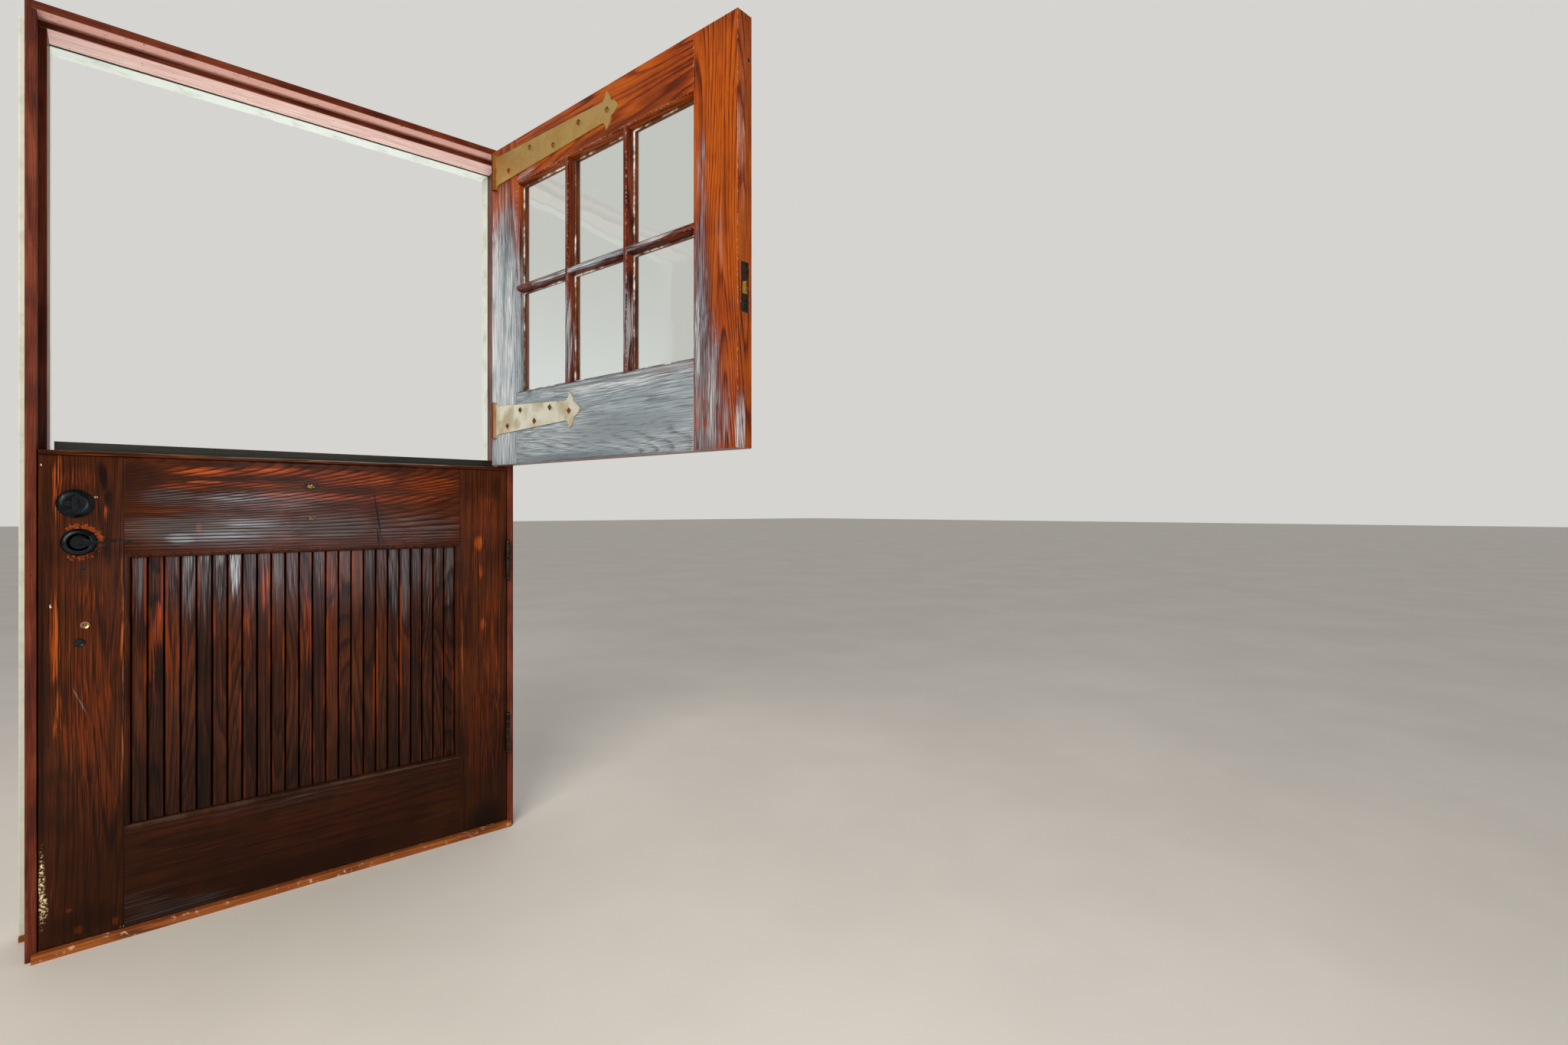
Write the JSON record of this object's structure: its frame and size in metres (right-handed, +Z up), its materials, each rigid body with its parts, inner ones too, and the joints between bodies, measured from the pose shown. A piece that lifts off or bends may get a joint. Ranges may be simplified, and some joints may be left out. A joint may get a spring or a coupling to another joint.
{
  "type": "dutch stable door with frame",
  "caption": "Wooden door split across its middle in a rabbeted frame: a boarded lower leaf with deadbolt and lever latch, and a glazed upper leaf with strap hinges, standing open.",
  "frame": {"origin": "underside of the sill, midway between the leaves' edges, in the plane of the jambs' and closed leaves' room face", "axes": "+Z up, +Y from the room to the outdoors through the wall, +X towards the hinge jamb"},
  "size_m": [1.2116, 1.2113, 2.0915],
  "materials": {
    "frame_wood": "varnished softwood, pinkish red-brown, satin",
    "sill_wood": "varnished hardwood, orange-brown, glossy",
    "casing_paint": "painted wood, pale greenish white, satin",
    "seal": "black sealing strip, matt",
    "hinge_bronze": "dark oiled bronze plating, worn to specks",
    "screw_bronze": "dark plated steel screws",
    "strike_brass": "dull brass",
    "lower_wood": "dark stained wood under gloss varnish, worn to orange",
    "board_wood": "dark stained boards under gloss varnish",
    "cap_wood": "stained wood, worn orange along its nose",
    "lip_paint": "dark green-black paint worn to orange wood",
    "lock_bronze": "black oiled bronze, satin, bluish highlights",
    "lock_steel": "plain steel",
    "washer_brass": "yellow brass",
    "upper_wood": "red-orange stained wood, weathered to blue-grey low down",
    "glass": "clear float glass",
    "upper_strap_brass": "gold brass plating, dark where worn",
    "lower_strap_brass": "pale worn brass plating",
    "nail_bronze": "dark bronze clavos",
    "upper_lock_bronze": "dark bronze, worn",
    "upper_bolt_brass": "brass",
    "plug_rubber": "dark rubber plug"
  },
  "bodies": {
    "frame": {"threshold": "sill_wood", "head_jamb": "frame_wood", "latch_jamb": "frame_wood", "hinge_jamb": "frame_wood", "side_casings": "casing_paint", "head_casing": "casing_paint", "seal_strips": "seal", "hinge_jamb_plates": "hinge_bronze", "hinge_pins": "hinge_bronze", "hinge_jamb_screws": "screw_bronze", "strikes": "strike_brass", "strike_screws": "screw_bronze"},
    "lower_leaf": {"lower_latch_stile": "lower_wood", "lower_hinge_stile": "lower_wood", "lower_bottom_rail": "lower_wood", "lower_top_rail": "lower_wood", "panel_boards": "board_wood", "room_panel_mouldings": "lower_wood", "outdoor_panel_mouldings": "lower_wood", "cap": "cap_wood", "weather_lip": "lip_paint", "lower_hinge_plates": "hinge_bronze", "lower_hinge_screws": "screw_bronze", "deadbolt_rose": "lock_bronze", "deadbolt_cylinder": "lock_bronze", "deadbolt_rose_screws": "screw_bronze", "bolt_cases": "lock_steel", "lock_faceplates": "lock_bronze", "lever_roses": "lock_bronze", "faceplate_screws": "screw_bronze", "brass_washer": "washer_brass", "brass_washer_screw": "washer_brass", "black_washer": "lock_bronze", "black_washer_screws": "screw_bronze"},
    "thumb_turn": {"deadbolt_turn": "lock_bronze"},
    "deadbolt": {"deadbolt": "lock_steel"},
    "lever_set": {"room_lever": "lock_bronze", "outdoor_lever": "lock_bronze", "lever_spindle": "lock_steel"},
    "latch_bolt": {"latch_bolt": "lock_steel"},
    "upper_leaf": {"upper_latch_stile": "upper_wood", "upper_hinge_stile": "upper_wood", "upper_bottom_rail": "upper_wood", "upper_top_rail": "upper_wood", "vertical_muntins": "upper_wood", "horizontal_muntins": "upper_wood", "glass_panes": "glass", "glazing_beads": "upper_wood", "upper_strap": "upper_strap_brass", "lower_strap": "lower_strap_brass", "strap_nails": "nail_bronze", "upper_hinge_plates": "hinge_bronze", "upper_hinge_screws": "screw_bronze", "upper_faceplate": "upper_lock_bronze", "upper_faceplate_screws": "screw_bronze", "upper_case": "lock_steel", "upper_rose": "upper_lock_bronze", "edge_plug": "plug_rubber"},
    "upper_turn": {"upper_turn": "upper_lock_bronze"},
    "upper_bolt": {"upper_bolt": "upper_bolt_brass"}
  },
  "joints": [
    {"name": "upper_leaf_swing", "type": "hinge", "parent": "frame", "child": "upper_leaf", "pos_m": [0.50925, -0.0075, 1.6], "axis": [0, 0, 1], "range_deg": [-98.5, 71.5]},
    {"name": "lower_leaf_swing", "type": "hinge", "parent": "frame", "child": "lower_leaf", "pos_m": [0.50925, -0.0075, 0.55], "axis": [0, 0, 1], "range_deg": [0, 98.5]},
    {"name": "deadbolt_turn_spin", "type": "hinge", "parent": "lower_leaf", "child": "thumb_turn", "pos_m": [-0.4505, 0, 0.988], "axis": [0, 1, 0], "range_deg": [0, 90]},
    {"name": "deadbolt_slide", "type": "slide", "parent": "lower_leaf", "child": "deadbolt", "axis": [-1, 0, 0], "range_m": [0, 0.025]},
    {"name": "lever_turn", "type": "hinge", "parent": "lower_leaf", "child": "lever_set", "pos_m": [-0.4445, 0, 0.9025], "axis": [0, 1, 0], "range_deg": [0, 45], "stiffness_Nm_per_rad": 1.5, "springref_deg": -28.65},
    {"name": "latch_slide", "type": "slide", "parent": "lower_leaf", "child": "latch_bolt", "axis": [-1, 0, 0], "range_m": [0, 0.012]},
    {"name": "upper_turn_spin", "type": "hinge", "parent": "upper_leaf", "child": "upper_turn", "pos_m": [0.6448, -0.96523, 1.457], "axis": [-0.989, -0.1478, 0], "range_deg": [0, 90]},
    {"name": "upper_bolt_slide", "type": "slide", "parent": "upper_leaf", "child": "upper_bolt", "axis": [0.1478, -0.989, 0], "range_m": [0, 0.012]}
  ],
  "couplings": [
    {"joint": "deadbolt_turn_spin", "follows": "deadbolt_slide", "rad_per_m": 62.83},
    {"joint": "upper_turn_spin", "follows": "upper_bolt_slide", "rad_per_m": 130.89}
  ]
}
